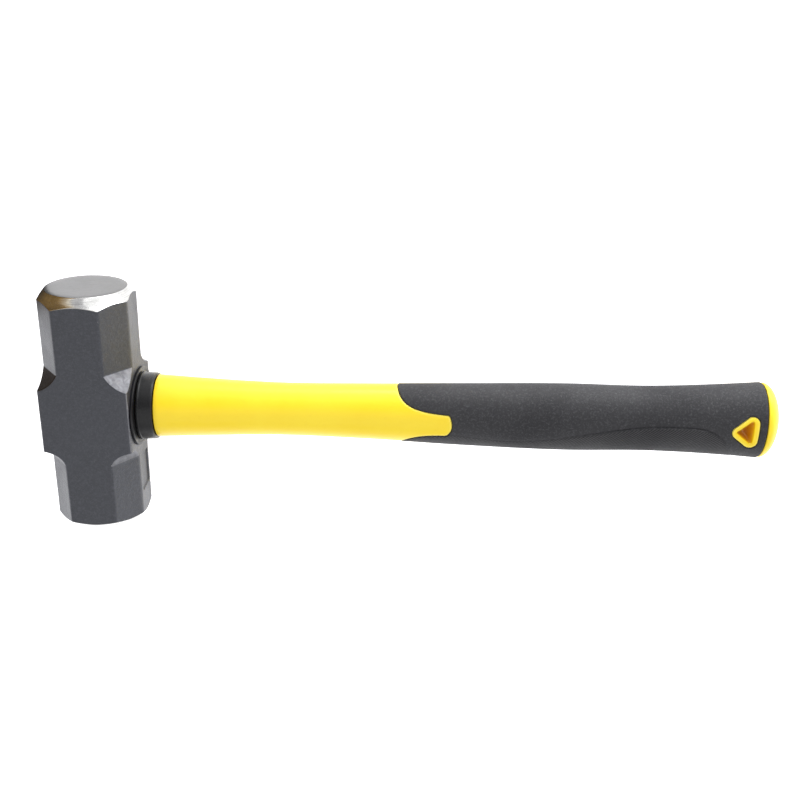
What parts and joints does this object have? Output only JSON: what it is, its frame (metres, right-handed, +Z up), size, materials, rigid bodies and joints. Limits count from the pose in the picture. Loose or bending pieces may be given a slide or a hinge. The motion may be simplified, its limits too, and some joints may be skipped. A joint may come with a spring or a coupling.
{
  "type": "sledgehammer",
  "caption": "Short one-hand sledgehammer: octagonal steel head with ground faces, bonded fibreglass handle, yellow jacket, black textured grip with a hang hole.",
  "frame": {"origin": "on the cheek that the head rests on, straight under the head's middle", "axes": "+X along the handle from the head to the butt, +Y along the head towards one striking face, +Z up, from the resting cheek to the other cheek"},
  "size_m": [0.3903, 0.13, 0.05],
  "materials": {
    "forged_steel": "satin",
    "potting_resin": "satin",
    "fibreglass": "satin",
    "seal_rubber": "satin",
    "collar_plastic": "satin",
    "yellow_plastic": "satin",
    "grip_rubber": "matte"
  },
  "bodies": {
    "root": {"hammer_head": "forged_steel", "epoxy_potting": "potting_resin", "handle_core": "fibreglass", "eye_seal_ring": "seal_rubber", "neck_collar": "collar_plastic", "handle_jacket": "yellow_plastic", "grip": "grip_rubber"}
  },
  "joints": []
}
